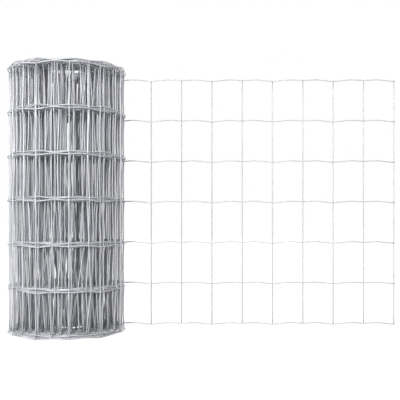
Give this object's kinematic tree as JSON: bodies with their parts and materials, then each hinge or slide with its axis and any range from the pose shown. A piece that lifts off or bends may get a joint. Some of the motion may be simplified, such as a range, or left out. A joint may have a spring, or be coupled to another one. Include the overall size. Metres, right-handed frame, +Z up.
{
  "type": "roll of wire fencing",
  "caption": "Upright roll of galvanised welded wire fencing with crimped line wires, its free end pulled out into a flat stretch of mesh.",
  "frame": {"origin": "on the roll's axis, at the level of the floor that the roll stands on", "axes": "+Z up along the roll's axis; the pulled-out stretch runs along +X, on the +Y side of the axis"},
  "size_m": [0.9294, 0.274, 0.6132],
  "materials": {
    "galvanised_wire": "satin"
  },
  "bodies": {
    "root": {"wound_roll": "galvanised_wire", "pulled_out_stretch": "galvanised_wire"}
  },
  "joints": []
}
